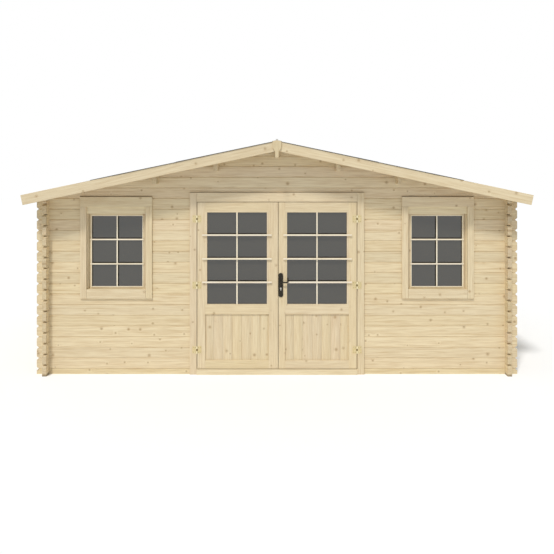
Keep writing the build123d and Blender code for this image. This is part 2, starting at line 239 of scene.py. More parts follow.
# Feel of the planed wood
WOOD_ROUGHNESS = 0.5
FIBRE_ROUGHNESS = 0.2
LATE_ROUGHNESS = 0.08
WOOD_BUMP = 0.35
WOOD_RELIEF = 0.0012
LATE_RELIEF = 0.25
FIBRE_RELIEF = 0.55
KNOT_RELIEF = 0.4

# Feel of felt, glass, metal and the dark strips of painted shade: the least roughness, and what the patches
# add to it
FELT_ROUGHNESS = 0.85
FELT_PATCHES = 0.1
GLASS_ROUGHNESS = 0.03
GLASS_PATCHES = 0.03
GLASS_BENDING = 1.85
GLASS_COVER = 0.94
METAL_PATCHES = 0.2
SHADE_STRIP_ROUGHNESS = 0.6
SHADE_STRIP_PATCHES = 0.2

X = Vector((1.0, 0.0, 0.0))
Y = Vector((0.0, 1.0, 0.0))
Z = Vector((0.0, 0.0, 1.0))
QUARTER_TURN = math.radians(90)
BOTH_SIDES = (("left", -1), ("right", 1))

draw = random.Random(BOARD_SEED)


class Reading:
    """A number read off a surface; arithmetic on it adds Math nodes."""

    def __init__(self, finish, socket):
        self.finish = finish
        self.socket = socket

    def output(self, name):
        return Reading(self.finish, self.socket.node.outputs[name])

    def math(self, operation, *others):
        return self.finish.math(operation, self, *others)

    def __add__(self, other):
        return self.math("ADD", other)

    def __sub__(self, other):
        return self.math("SUBTRACT", other)

    def __rsub__(self, other):
        return self.finish.math("SUBTRACT", other, self)

    def __mul__(self, other):
        return self.math("MULTIPLY", other)

    def __truediv__(self, other):
        return self.math("DIVIDE", other)

    def __pow__(self, other):
        return self.math("POWER", other)

    def limited(self):
        return self.finish.node("ShaderNodeClamp", {}, {"Value": self})

    def stretched(self, gain, cut):
        """The reading with more contrast, held between 0 and 1."""
        return (self * gain - cut).limited()


class Finish:
    """A material, built up from nodes."""

    def __init__(self, name):
        self.material = bpy.data.materials.new(name)
        self.material.use_nodes = True
        self.tree = self.material.node_tree
        self.shader = self.tree.nodes["Principled BSDF"]

    def node(self, kind, settings, sockets, output=0):
        """A node of that kind: its settings first, then the values or links of its sockets."""
        made = self.tree.nodes.new(kind)
        for name, value in settings.items():
            setattr(made, name, value)
        for key, value in sockets.items():
            self.feed(made.inputs[key], value)
        return Reading(self, made.outputs[output])

    def feed(self, socket, value):
        if isinstance(value, Reading):
            self.tree.links.new(value.socket, socket)
        else:
            socket.default_value = value

    def math(self, operation, *values):
        return self.node("ShaderNodeMath", {"operation": operation}, dict(enumerate(values)))

    def mix(self, factor, first, second, mode="MIX"):
        settings = {"data_type": "RGBA", "blend_type": mode}
        return self.node("ShaderNodeMix", settings, {0: factor, 6: first, 7: second}, 2)

    def join(self, x, y, z):
        return self.node("ShaderNodeCombineXYZ", {}, {0: x, 1: y, 2: z})

    def split(self, vector):
        parts = self.node("ShaderNodeSeparateXYZ", {}, {0: vector})
        return parts, parts.output("Y"), parts.output("Z")

    def noise(self, vector, scale, detail=2.0, roughness=0.5):
        sockets = {"Vector": vector, "Scale": scale, "Detail": detail, "Roughness": roughness}
        return self.node("ShaderNodeTexNoise", {"noise_dimensions": "3D"}, sockets)

    def place(self):
        return self.node("ShaderNodeTexCoord", {}, {}, "Object")

    def stored(self, name, output):
        return self.node("ShaderNodeAttribute", {"attribute_name": name}, {}, output)

    def bump(self, height, strength, distance):
        return self.node("ShaderNodeBump", {}, {"Height": height, "Strength": strength, "Distance": distance})

    def surface(self, **sockets):
        """Feeds the shader; a name such as base_color stands for the socket Base Color."""
        for name, value in sockets.items():
            self.feed(self.shader.inputs[self.socket_name(name)], value)
        return self.material

    def socket_name(self, name):
        return name.replace("_", " ").title().replace("Ior", "IOR")


def color(red, green, blue):
    """An opaque colour."""
    return (red, green, blue, 1.0)


WHITE = color(1.0, 1.0, 1.0)
PALE_WOOD = color(0.716, 0.597, 0.391)
DEEP_WOOD = color(0.548, 0.406, 0.228)
PALE_JOINERY = color(0.724, 0.604, 0.400)
DEEP_JOINERY = color(0.567, 0.424, 0.244)
PALE_SILL = color(0.765, 0.655, 0.435)
DEEP_SILL = color(0.61, 0.475, 0.275)
PALE_BAR = color(0.85, 0.765, 0.60)
DEEP_BAR = color(0.745, 0.63, 0.45)
KNOT_BROWN = color(0.28, 0.17, 0.075)
END_BROWN = color(0.36, 0.26, 0.14)
FELT_DEEP = color(0.022, 0.023, 0.024)
FELT_GRIT = color(0.085, 0.087, 0.086)
RIDGE_DEEP = color(0.40, 0.385, 0.37)
RIDGE_GRIT = color(0.62, 0.60, 0.575)
GLASS_DEEP = color(0.040, 0.036, 0.026)
GLASS_PALE = color(0.046, 0.041, 0.030)
# Painted shade: dark strips on the panes where inner bars and recesses would be in shade
SHADE_STRIP_DEEP = color(0.013, 0.009, 0.003)
SHADE_STRIP_PALE = color(0.03, 0.022, 0.009)
HINGE_YELLOW = color(0.66, 0.54, 0.29)
HINGE_RUBBED = color(0.78, 0.67, 0.42)
# Painted highlight on the knuckles of the post's hinges, painted shade on the knuckle of the leaf's
KNUCKLE_PAINTED_HIGHLIGHT = color(0.92, 0.84, 0.60)
KNUCKLE_PAINTED_SHADE = color(0.22, 0.17, 0.07)
IRON_BLACK = color(0.014, 0.011, 0.005)
IRON_RUBBED = color(0.028, 0.022, 0.012)
SCREW_DULL = color(0.45, 0.37, 0.22)
SCREW_RUBBED = color(0.6, 0.52, 0.35)
CYLINDER_DULL = color(0.46, 0.44, 0.38)
CYLINDER_RUBBED = color(0.58, 0.56, 0.50)


def log_grain(finish, along, first_joint, reach, foot_shade=0.0):
    """Run, height and depth within each log, the log's number, where its ends begin, and the painted light
    and shade at its foot.
    """
    x, y, z = finish.split(finish.place())
    run, depth = (x, y) if along == "x" else (y, x)
    course = ((z - first_joint) / LOG_COVER).math("FLOOR")
    middle = (course + 0.5) * LOG_COVER + first_joint
    far_wall = depth.math("GREATER_THAN", 0.0)
    half_span = depth.math("ABSOLUTE").math("FRACT")
    end = ((run.math("ABSOLUTE") - (reach - LOG_END_BEVEL)) / LOG_END_BLEND).limited()
    # Painted light: paler towards the ground, as if lit from the floor; painted shade: a dark band along the
    # lowest edge
    foot = (1.0 - z / FOOT_LIGHT_HEIGHT).limited() * FOOT_PAINTED_LIGHT - (1.0 - z / FOOT_SHADE_HEIGHT).limited() * foot_shade
    return (run, z - middle, half_span * LOG_DEPTH_SHARE), course + far_wall * FAR_WALL_NUMBER, end, foot


def beam_grain(finish, along, reach=None):
    """Run and section of beams that keep their solids, a number for each, and where their ends begin."""
    x, y, z = finish.split(finish.place())
    if along == "y":
        end = ((y.math("ABSOLUTE") - (reach - PURLIN_END)) / BEAM_END_BLEND).limited()
        return (y, z, x), (x / BEAM_SPACING).math("ROUND"), end, 0.0
    if along == "x":
        return (x, z, y), (z / RAIL_SPACING).math("ROUND"), 0.0, 0.0
    return (z, x, y), (x / POST_SPACING).math("ROUND"), 0.0, 0.0


def board_grain(finish):
    """Run, width and depth that a board's mesh carries, and the board's own number."""
    run, width, depth = finish.split(finish.stored("grain", "Vector"))
    return (run, width, depth), finish.stored("board", "Fac") * BOARD_NUMBERS, 0.0, 0.0


def knots_in(finish, run, across, share):
    """How far a place lies in a knot and in its halo, and how far the knot swells the rings there."""
    sockets = {"Vector": finish.join(run, across, 0.0), "Scale": 1 / KNOT_CELL}
    cells = finish.node("ShaderNodeTexVoronoi", {"voronoi_dimensions": "2D"}, sockets)
    gap = cells * KNOT_CELL
    pick, girth, _ = finish.split(cells.output("Color"))
    has_knot = pick.math("LESS_THAN", share)
    radius = girth * KNOT_MORE + KNOT_LEAST
    knot = ((radius - gap) / KNOT_SOFTNESS + 0.5).limited() * has_knot
    halo = ((radius * HALO_REACH - gap) / HALO_SOFTNESS).limited() * has_knot
    swell = (gap * gap * SWELL_FALL).math("EXPONENT") * has_knot
    return knot, halo, swell


def timber(name, grain_of, pale, deep, knots=0.3, variety=1.0, end_shade=0.0, settings=()):
    """Planed softwood: growth rings, fibre streaks, knots that bend the rings, and a tone for each board."""
    finish = Finish(name)
    (run, width, depth), number, end, foot = grain_of(finish, *settings)
    sockets = {"W": number * NUMBER_RATE + NUMBER_START}
    chance = finish.node("ShaderNodeTexWhiteNoise", {"noise_dimensions": "1D"}, sockets)
    lot, pith_side, pith_depth = finish.split(chance.output("Color"))
    run = run + lot * LOT_RUN
    knot, halo, swell = knots_in(finish, run, width + pith_side * LOT_ACROSS, knots)

    def drawn_out(run_rate, across_rate, shift, detail):
        """Noise that the grain draws out into streaks."""
        place = finish.join(run * run_rate, width * across_rate, depth * across_rate + shift)
        return finish.noise(place, scale=1.0, detail=detail)

    bend = finish.join(run * WANDER_RUN, width * WANDER_ACROSS, lot * WANDER_LOT)
    wander = finish.noise(bend, scale=1.0) - NOISE_MEAN
    side = width + (pith_side - NOISE_MEAN) * PITH_ACROSS + wander * WANDER_WIDTH
    heart = depth + PITH_NEAREST + pith_depth * PITH_DEEPER
    ring = (side * side + heart * heart).math("SQRT") + swell * SWELL_HEIGHT
    fibre = drawn_out(FIBRE_RUN, FIBRE_ACROSS, 0.0, detail=3.0)
    streak = drawn_out(STREAK_RUN, STREAK_ACROSS, lot * STREAK_LOT, detail=2.0)
    band = drawn_out(BAND_RUN, BAND_ACROSS, lot * BAND_LOT, detail=2.0)
    late = ((ring + fibre * RING_RAGGED) / RING_WIDTH).math("FRACT") ** LATE_SHARPNESS
    figure = ((streak - NOISE_MEAN) * STREAK_SHADE + (band - NOISE_MEAN) * BAND_SHADE
              + (fibre - NOISE_MEAN) * FIBRE_SHADE)
    shade = late * LATE_SHADE + figure + halo * HALO_SHADE + PLAIN_SHADE
    body = finish.mix(shade.limited(), pale, deep)
    # foot adds the painted light and shade at the foot of the logs
    tone = (pith_depth - NOISE_MEAN) * (BOARD_TONE * variety) + 1.0 + foot
    green = tone * (lot * GREEN_TONE + GREEN_LEAST)
    blue = tone * (pith_side * BLUE_TONE + BLUE_LEAST)
    toned = finish.mix(1.0, body, finish.join(tone, green, blue), "MULTIPLY")
    knotted = finish.mix(knot * KNOT_STRENGTH, toned, KNOT_BROWN)
    if end_shade:
        pores = finish.noise(finish.place(), scale=PORE_RATE, detail=2.0)
        knotted = finish.mix(end * (pores * PORE_SHADE + PORE_LEAST) * end_shade, knotted, END_BROWN)
    height = late * LATE_RELIEF + fibre * FIBRE_RELIEF - knot * KNOT_RELIEF
    roughness = fibre * FIBRE_ROUGHNESS + late * LATE_ROUGHNESS + WOOD_ROUGHNESS
    return finish.surface(base_color=knotted, roughness=roughness,
                          normal=finish.bump(height, WOOD_BUMP, WOOD_RELIEF))


def roofing_felt(name, dark, grit_tint):
    """Mineral felt: coarse and dry, with paler grit."""
    finish = Finish(name)
    place = finish.place()
    grit = finish.noise(place, scale=420.0, detail=3.0, roughness=0.7)
    cloud = finish.noise(place, scale=2.2, detail=3.0)
    tint = finish.mix(grit.stretched(gain=1.6, cut=0.4), dark, grit_tint)
    surface_tint = finish.mix(cloud.stretched(gain=1.4, cut=0.45), tint, grit_tint)
    return finish.surface(base_color=surface_tint, roughness=cloud * FELT_PATCHES + FELT_ROUGHNESS,
                          normal=finish.bump(grit, strength=0.7, distance=0.002))


def pane_glass():
    """Double panes before a dim room: grey, with a strong smooth shine and a faint ripple."""
    finish = Finish("pane_glass")
    ripple = finish.noise(finish.place(), scale=3.0, detail=1.0)
    tint = finish.mix(ripple, GLASS_DEEP, GLASS_PALE)
    return finish.surface(base_color=tint, roughness=ripple * GLASS_PATCHES + GLASS_ROUGHNESS,
                          ior=GLASS_BENDING, alpha=GLASS_COVER,
                          normal=finish.bump(ripple, strength=0.05, distance=0.001))


def metal(name, tint, rubbed, roughness, metallic, shine=0.5, barrel=None):
    """Metal with fine pits and brighter rubbed patches; a hinge's barrel can carry painted light: a painted
    highlight or painted shade near its axis.
    """
    finish = Finish(name)
    place = finish.place()
    pits = finish.noise(place, scale=900.0, detail=2.0)
    patch = finish.noise(place, scale=60.0, detail=3.0)
    surface_tint = finish.mix(patch.stretched(gain=2.2, cut=0.9), tint, rubbed)
    if barrel is not None:
        # Painted highlight or painted shade on the hinge's knuckles, near its axis
        x, _, _ = finish.split(place)
        off_axis = (x.math("ABSOLUTE") - HINGE_AXIS).math("ABSOLUTE")
        surface_tint = finish.mix(off_axis.math("LESS_THAN", HINGE_BARREL), surface_tint, barrel)
    return finish.surface(base_color=surface_tint, roughness=patch * METAL_PATCHES + roughness, metallic=metallic,
                          specular_ior_level=shine, normal=finish.bump(pits, strength=0.15, distance=0.0005))


def painted_shade_finish():
    """Painted shade: dark strips between the bars and the pane, standing for the shaded inner bars seen
    through the glass.
    """
    finish = Finish("painted_shade_finish")
    speck = finish.noise(finish.place(), scale=700.0, detail=2.0)
    tint = finish.mix(speck, SHADE_STRIP_DEEP, SHADE_STRIP_PALE)
    return finish.surface(base_color=tint, roughness=speck * SHADE_STRIP_PATCHES + SHADE_STRIP_ROUGHNESS,
                          specular_ior_level=0.2)


def floor_paint():
    """The dull white of the floor."""
    return Finish("pale_floor").surface(base_color=WHITE, roughness=1.0, specular_ior_level=0.0)


class Boards:
    """Boards gathered into one mesh, each with its own grain and number."""

    def __init__(self):
        self.points = []
        self.faces = []
        self.grain = []
        self.number = []

    def slab(self, outline, thickness, place, along, across, edge=SOFT_EDGE):
        """One board: an outline drawn along and across its grain, its thickness, and rounded edges."""
        depth = along.cross(across)
        shape = bmesh.new()
        low = [shape.verts.new((u, v, 0.0)) for u, v in outline]
        high = [shape.verts.new((u, v, thickness)) for u, v in outline]
        shape.faces.new(low[::-1])
        shape.faces.new(high)
        for n in range(len(low)):
            after = (n + 1) % len(low)
            shape.faces.new((low[n], low[after], high[after], high[n]))
        bmesh.ops.recalc_face_normals(shape, faces=shape.faces)
        bmesh.ops.bevel(shape, geom=shape.edges[:], offset=edge, segments=2, profile=0.5, affect="EDGES",
                        clamp_overlap=True)
        shape.verts.ensure_lookup_table()
        middle = sum((v for _, v in outline)) / len(outline)
        first = len(self.points)
        number = draw.random()
        for vert in shape.verts:
            u, v, w = vert.co
            self.points.append(place + along * u + across * v + depth * w)
            self.grain.append((u, v - middle, w - thickness / 2))
            self.number.append(number)
        for face in shape.faces:
            self.faces.append([first + vert.index for vert in face.verts])
        shape.free()

    def bar(self, low, high, along, edge=SOFT_EDGE):
        """A board square to the house, between two corners, with its grain along x or z."""
        size = Vector([abs(b - a) for a, b in zip(low, high)])
        low = Vector([min(a, b) for a, b in zip(low, high)])
        run, width, depth = {"x": (0, 2, 1), "z": (2, 0, 1)}[along]
        axes = (X, Y, Z)
        place = low.copy()
        if axes[run].cross(axes[width]).dot(axes[depth]) < 0:
            place += axes[depth] * size[depth]
        outline = [(0.0, 0.0), (size[run], 0.0), (size[run], size[width]), (0.0, size[width])]
        self.slab(outline, size[depth], place, axes[run], axes[width], edge)

    def finish(self, name, material, slot, body, *nodes):
        """Makes the boards one piece."""
        mesh = bpy.data.meshes.new(name)
        mesh.from_pydata(self.points, [], self.faces)
        mesh.attributes.new("grain", "FLOAT_VECTOR", "POINT").data.foreach_set(
            "vector", [part for run in self.grain for part in run])
        mesh.attributes.new("board", "FLOAT", "POINT").data.foreach_set("value", self.number)
        mounted(mesh, name, material, slot, body, *nodes)


def mounted(mesh, name, material, slot, body, *nodes):
    """Makes a finished mesh a piece that rides on a body and stands for the named solids, if any."""
    mesh.materials.clear()
    mesh.materials.append(material)
    piece = bpy.data.objects.new(name, mesh)
    bpy.context.scene.collection.objects.link(piece)
    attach(piece, body)
    if nodes:
        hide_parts(*nodes)


class Tree:
    """A Geometry Nodes tree, wired from named inputs to one mesh."""

    def __init__(self, name):
        self.tree = bpy.data.node_groups.new(name, "GeometryNodeTree")
        self.tree.interface.new_socket("Geometry", in_out="INPUT", socket_type="NodeSocketGeometry")
        self.tree.interface.new_socket("Geometry", in_out="OUTPUT", socket_type="NodeSocketGeometry")
        self.entry = self.tree.nodes.new("NodeGroupInput")
        self.exit = self.tree.nodes.new("NodeGroupOutput")

    def input(self, name, kind):
        self.tree.interface.new_socket(name, in_out="INPUT", socket_type="NodeSocket" + kind)
        return self.entry.outputs[name]

    def node(self, kind, settings, sockets, output=0):
        made = self.tree.nodes.new(kind)
        for name, value in settings.items():
            setattr(made, name, value)
        for key, value in sockets.items():
            if isinstance(value, bpy.types.NodeSocket):
                self.tree.links.new(value, made.inputs[key])
            else:
                made.inputs[key].default_value = value
        return made.outputs[output]

    def end(self, geometry, material):
        whole = self.node("GeometryNodeRealizeInstances", {}, {"Geometry": geometry})
        painted = self.node("GeometryNodeSetMaterial", {}, {"Geometry": whole, "Material": material})
        self.tree.links.new(painted, self.exit.inputs["Geometry"])

    def grown(self, name, values, start=None):
        """The mesh that the tree makes from these inputs, as plain data."""
        holder = bpy.data.objects.new(name + "_grown", start or bpy.data.meshes.new(name + "_start"))
        bpy.context.scene.collection.objects.link(holder)
        modifier = holder.modifiers.new("grow", "NODES")
        modifier.node_group = self.tree
        inputs = [item for item in self.tree.interface.items_tree if item.in_out == "INPUT"]
        keys = {item.name: item.identifier for item in inputs}
        for key, value in values.items():
            modifier[keys[key]] = value
        graph = bpy.context.evaluated_depsgraph_get()
        mesh = bpy.data.meshes.new_from_object(holder.evaluated_get(graph), preserve_all_data_layers=True,
                                               depsgraph=graph)
        bpy.data.objects.remove(holder)
        mesh.name = name
        return mesh


def board_row_tree():
    """Like boards side by side: length along X, stepping by a given vector, then turned and put in place."""
    row = Tree("board_row")
    count = row.input("Boards", "Int")
    step = row.input("Step", "Vector")
    length = row.input("Length", "Float")
    width = row.input("Width", "Float")
    thickness = row.input("Thickness", "Float")
    edge = row.input("Edge", "Float")
    turn = row.input("Turn", "Rotation")
    place = row.input("Place", "Vector")
    seed = row.input("Seed", "Int")
    material = row.input("Finish", "Material")
    end = row.node("ShaderNodeCombineXYZ", {}, {0: length})
    line = row.node("GeometryNodeCurvePrimitiveLine", {}, {"End": end})
    section = row.node("GeometryNodeCurvePrimitiveQuadrilateral", {}, {0: width, 1: thickness})
    rounded = row.node("GeometryNodeFilletCurve", {},
                       {"Curve": section, "Radius": edge, "Limit Radius": True})
    board = row.node("GeometryNodeCurveToMesh", {},
                     {"Curve": line, "Profile Curve": rounded, "Fill Caps": True})
    inside = row.node("GeometryNodeInputPosition", {}, {})
    grained = row.node("GeometryNodeStoreNamedAttribute", {"data_type": "FLOAT_VECTOR", "domain": "POINT"},
                       {"Geometry": board, "Name": "grain", "Value": inside})
    points = row.node("GeometryNodeMeshLine", {}, {"Count": count, "Offset": step})
    many = row.node("GeometryNodeInstanceOnPoints", {}, {"Points": points, "Instance": grained})
    chance = row.node("FunctionNodeRandomValue", {"data_type": "FLOAT"}, {"Seed": seed}, 1)
    numbered = row.node("GeometryNodeStoreNamedAttribute", {"data_type": "FLOAT", "domain": "INSTANCE"},
                        {"Geometry": many, "Name": "board", "Value": chance})
    whole = row.node("GeometryNodeRealizeInstances", {}, {"Geometry": numbered})
    laid = row.node("GeometryNodeTransform", {}, {"Geometry": whole, "Translation": place, "Rotation": turn})
    row.end(laid, material)
    return row


def screw_tree():
    """A low tapered screw head, facing the front, on each point of the given mesh."""
    heads = Tree("screw_heads")
    radius = heads.input("Radius", "Float")
    height = heads.input("Height", "Float")
    material = heads.input("Finish", "Material")
    inner = heads.node("ShaderNodeMath", {"operation": "MULTIPLY"}, {0: radius, 1: SCREW_TOP_SHARE})
    cone = heads.node("GeometryNodeMeshCone", {}, {"Vertices": SCREW_SIDES, "Radius Top": inner,
                                                   "Radius Bottom": radius, "Depth": height})
    faced = heads.node("GeometryNodeTransform", {},
                       {"Geometry": cone, "Rotation": (QUARTER_TURN, 0.0, 0.0)})
    many = heads.node("GeometryNodeInstanceOnPoints", {},
                      {"Points": heads.entry.outputs["Geometry"], "Instance": faced})
    heads.end(many, material)
    return heads


def row_of_boards(tree, name, body, slot, node, **values):
    """A row that the tree grows from these inputs, in place of a node."""
    mounted(tree.grown(name, values), name, values["Finish"], slot, body, node)


def paint(material, *nodes):
    """Gives solids that keep their own mesh their finish."""
    for node in nodes:
        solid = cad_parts[node].data
        solid.materials.clear()
        solid.materials.append(material)


def slope_axes(side):
    """Down the slope, and square off it, on the right or the left."""
    return (Vector((side * math.cos(ROOF_PITCH), 0.0, -math.sin(ROOF_PITCH))),
            Vector((side * math.sin(ROOF_PITCH), 0.0, math.cos(ROOF_PITCH))))


def roof_edge_boards(material):
    """Bargeboards, eave boards and finials."""
    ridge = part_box("ridge_purlin")[1][2]
    eave_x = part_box("eave_fascias")[1][0]
    reach = (eave_x - ROOF_BOARD * math.sin(ROOF_PITCH)) / math.cos(ROOF_PITCH)
    covered = lowest_strip()[0] + FELT_LAP
    for node in ("front_bargeboards", "back_bargeboards"):
        low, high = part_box(node)
        boards = Boards()
        for _, side in BOTH_SIDES:
            down, off = slope_axes(side)
            bottom = ROOF_BOARD - BARGE_WIDTH
            lean = math.tan(ROOF_PITCH)
            top = ROOF_BOARD + FELT_SHEET
            outline = [(BARGE_MITRE - bottom * lean, bottom), (reach, bottom), (reach, top),
                       (covered + BARGE_RISE, top), (covered, ROOF_BOARD),
                       (BARGE_MITRE - ROOF_BOARD * lean, ROOF_BOARD)]
            forward = down.cross(off).y < 0
            place = Vector((0.0, high[1] if forward else low[1], ridge))
            boards.slab(outline, high[1] - low[1], place, down, off)
        boards.finish(node.replace("bargeboards", "barge_boards"), material, "roof_timber", "shed", node)
    low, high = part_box("eave_fascias")
    boards = Boards()
    for _, side in BOTH_SIDES:
        down, off = slope_axes(side)
        start = down * (reach - FASCIA_THICKNESS) + off * (ROOF_BOARD - FASCIA_WIDTH) + Z * ridge
        outward = Y.cross(off).dot(down) > 0
        place = start + Y * low[1] + (Vector() if outward else down * FASCIA_THICKNESS)
        length = high[1] - low[1]
        outline = [(0.0, 0.0), (length, 0.0), (length, FASCIA_WIDTH), (0.0, FASCIA_WIDTH)]
        boards.slab(outline, FASCIA_THICKNESS, place, Y, off)
    boards.finish("eave_boards", material, "roof_timber", "shed", "eave_fascias")
    low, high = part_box("finials")
    boards = Boards()
    half = high[0] - FINIAL_TRIM
    tall = high[2] + FELT - low[2]
    tip = FINIAL_TIP / 2
    side = [(0.0, tip), (tall - FINIAL_WAIST, tip), (tall - FINIAL_SHOULDER, half),
            (tall - half * math.tan(ROOF_PITCH), half)]
    outline = [(run, -width) for run, width in side] + [(tall, 0.0)] + side[::-1]
    for back in (low[1], high[1] - FINIAL_THICKNESS):
        boards.slab(outline, FINIAL_THICKNESS, Vector((0.0, back, low[2])), Z, X)
    boards.finish("finial_boards", material, "roof_timber", "shed", "finials")


def lowest_strip():
    """Where the lowest strip of felt begins down the slope, and where it ends."""
    low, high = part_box("right_roof_felt")
    reach = (high[0] - low[0]) / math.cos(ROOF_PITCH) - (ROOF_BOARD + FELT) * math.tan(ROOF_PITCH)
    return reach * (FELT_STRIPS - 1) / FELT_STRIPS, reach


def roof_cover(tree, timber_finish, felt_finish):
    """Boards from ridge to eave, and felt in lapped strips along each slope.

    The upper strips lie over the bargeboards, and the lowest one ends behind them.
    """
    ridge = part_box("ridge_purlin")[1][2]
    for name, side in BOTH_SIDES:
        low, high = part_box(f"{name}_roof_boards")
        down, off = slope_axes(side)
        length = (high[0] - low[0]) / math.cos(ROOF_PITCH) - ROOF_BOARD * math.tan(ROOF_PITCH)
        count = round((high[1] - low[1]) / ROOF_BOARD_WIDTH)
        width = (high[1] - low[1]) / count
        start = off * (ROOF_BOARD / 2) + Vector((0.0, low[1] + width / 2, ridge))
        turn = (0.0, ROOF_PITCH if side > 0 else math.pi - ROOF_PITCH, 0.0)
        row_of_boards(tree, f"{name}_roof_board_row", "shed", "roof_timber", f"{name}_roof_boards",
                      Boards=count, Step=(0.0, width, 0.0), Length=length, Width=width - ROOF_BOARD_GAP,
                      Thickness=ROOF_BOARD, Edge=SOFT_EDGE, Turn=turn, Place=start, Seed=ROOF_SEED + side,
                      Finish=timber_finish)
        low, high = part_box(f"{name}_roof_felt")
        strip = lowest_strip()[1] / FELT_STRIPS
        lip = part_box("front_bargeboards")[0][1] - low[1]
        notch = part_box("finials")[1][0] / math.cos(ROOF_PITCH)
        strips = Boards()
        for n in range(FELT_STRIPS):
            lowest = n == FELT_STRIPS - 1
            upper = n * strip
            lower = upper + strip + (0.0 if lowest else FELT_LAP)
            lift = 0.0 if lowest else FELT - FELT_SHEET
            felt_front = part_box("front_bargeboards")[1][1] if lowest else low[1]
            felt_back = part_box("back_bargeboards")[0][1] if lowest else high[1]
            start = down * lower + off * (ROOF_BOARD + lift) + Vector((0.0, felt_front, ridge))
            finish = down * upper + off * ROOF_BOARD + Vector((0.0, felt_front, ridge))
            uphill = finish - start
            width = uphill.length
            uphill.normalize()
            length = felt_back - felt_front
            run, place = (Y, start) if side > 0 else (-Y, start + Y * length)
            half = [(0.0, 0.0), (0.0, width)]
            if n == 0:
                half = [(0.0, 0.0), (0.0, width - notch), (lip, width - notch), (lip, width)]
            elif n == FELT_STRIPS - 2:
                half = [(lip, 0.0), (0.0, FELT_TAPER), (0.0, width)]
            outline = [(length - u, v) for u, v in half] + half[::-1]
            strips.slab(outline, FELT_SHEET, place, run, uphill, FELT_EDGE)
        strips.finish(f"{name}_felt_strips", felt_finish, "felt", "shed", f"{name}_roof_felt")


def window_pieces(name, trim_finish, sash_finish, bar_finish, shade_strip_finish):
    """Trim boards, sash and bars of one window."""
    low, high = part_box(f"{name}_window_trims")
    trims = Boards()
    opening_high = high[2] - WINDOW_TOP_TRIM
    opening_low = low[2] + WINDOW_BOTTOM_TRIM
    for y0, y1 in ((low[1], low[1] + TRIM), (high[1] - TRIM, high[1])):
        trims.bar((low[0], y0, opening_high), (high[0], y1, high[2]), "x")
        for x in (low[0], high[0] - WINDOW_SIDE_TRIM):
            trims.bar((x, y0, low[2]), (x + WINDOW_SIDE_TRIM, y1, opening_high - TRIM_JOINT), "z")
        inner = WINDOW_SIDE_TRIM + TRIM_JOINT
        trims.bar((low[0] + inner, y0, low[2]), (high[0] - inner, y1, opening_low), "x")
    trims.finish(f"{name}_window_trim_boards", trim_finish, "joinery", "shed", f"{name}_window_trims")

    low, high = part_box(f"{name}_window_sash")
    sash = Boards()
    in_gap = low[1] + SASH_GAP_DEPTH
    set_back = low[1] + SASH_STEP
    for edge, inward in ((low[0], 1), (high[0], -1)):
        casing = edge + inward * SASH_CASING
        stile = casing + inward * SASH_GAP
        glazed = edge + inward * SASH_STILE
        front = low[1] - SASH_CASING_PROUD
        for x0, x1, face in ((edge, casing, front), (casing, stile, in_gap), (stile, glazed, set_back)):
            sash.bar((x0, face, low[2]), (x1, high[1], high[2]), "z", FINE_EDGE)
    left, right = low[0] + SASH_STILE, high[0] - SASH_STILE
    bottom, top = low[2] + SASH_RAIL, high[2] - SASH_RAIL
    foot = low[2] + SASH_FOOT_GAP
    in_foot = low[1] + SASH_FOOT_DEPTH
    for z0, z1, face in ((low[2], foot, in_foot), (foot, bottom, set_back), (top, high[2], set_back)):
        sash.bar((left, face, z0), (right, high[1], z1), "x", FINE_EDGE)
    sash.finish(f"{name}_window_sash_boards", sash_finish, "joinery", "shed", f"{name}_window_sash")

    beads = Boards()
    front, back = set_back - BEAD_PROUD, set_back
    for x in (left - BEAD_WIDTH, right):
        beads.bar((x, front, bottom - BEAD_WIDTH), (x + BEAD_WIDTH, back, top + BEAD_WIDTH), "z", FINE_EDGE)
    for z in (bottom - BEAD_WIDTH, top):
        beads.bar((left, front, z), (right, back, z + BEAD_WIDTH), "x", FINE_EDGE)
    heights = [bottom + (top - bottom) * share for share in WINDOW_BAR_SHARES]
    laps = [(WINDOW_BAR_LAP, WINDOW_BAR_LAP)] * len(heights)
    for face, toward in ((front, -1), (high[1], 1)):
        lattice(beads, left, right, bottom, top, face, toward, heights, laps, WINDOW_CROSS_BAR, BAR_THICKNESS)
    beads.finish(f"{name}_window_bars", bar_finish, "joinery", "shed")
    # Painted shade: dark strips between the cross bars and the pane
    painted_shade_strips(f"{name}_window_painted_shade", "shed", shade_strip_finish, left, right, front,
            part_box(f"{name}_window_glass")[0][1], heights, WINDOW_CROSS_BAR, WINDOW_SHADE_RISE)
    return left, right, bottom, top, front


def lattice(boards, left, right, bottom, top, face, toward, heights, laps, cross_width, proud):
    """Bars over a pane: an upright between the rails, and ones across it that lap onto the stiles.

    The upright is flush with the face, and the others stand on it, towards -1, the front, or 1, the room.
    """
    back = face - toward * BAR_THICKNESS
    front = face + toward * proud
    middle = (left + right) / 2
    half = BAR_WIDTH / 2
    boards.bar((middle - half, face, bottom), (middle + half, back, top), "z", FINE_EDGE)
    half = cross_width / 2
    for z, (left_lap, right_lap) in zip(heights, laps):
        boards.bar((left - left_lap, front, z - half), (right + right_lap, face, z + half), "x", FINE_EDGE)


def painted_shade_strips(name, body, material, left, right, face, glass, heights, cross_width, rise):
    """Painted shade: dark strips between the cross bars and the pane, a little higher than the bars, where
    the shaded inner bars would show through the glass.
    """
    strips = Boards()
    front = face + BAR_THICKNESS
    for z in heights:
        bottom, top = z + rise - cross_width / 2, z + rise + cross_width / 2
        strips.bar((left, front, bottom), (right, glass, top), "x", FINE_EDGE)
    strips.finish(name, material, "joinery", body)


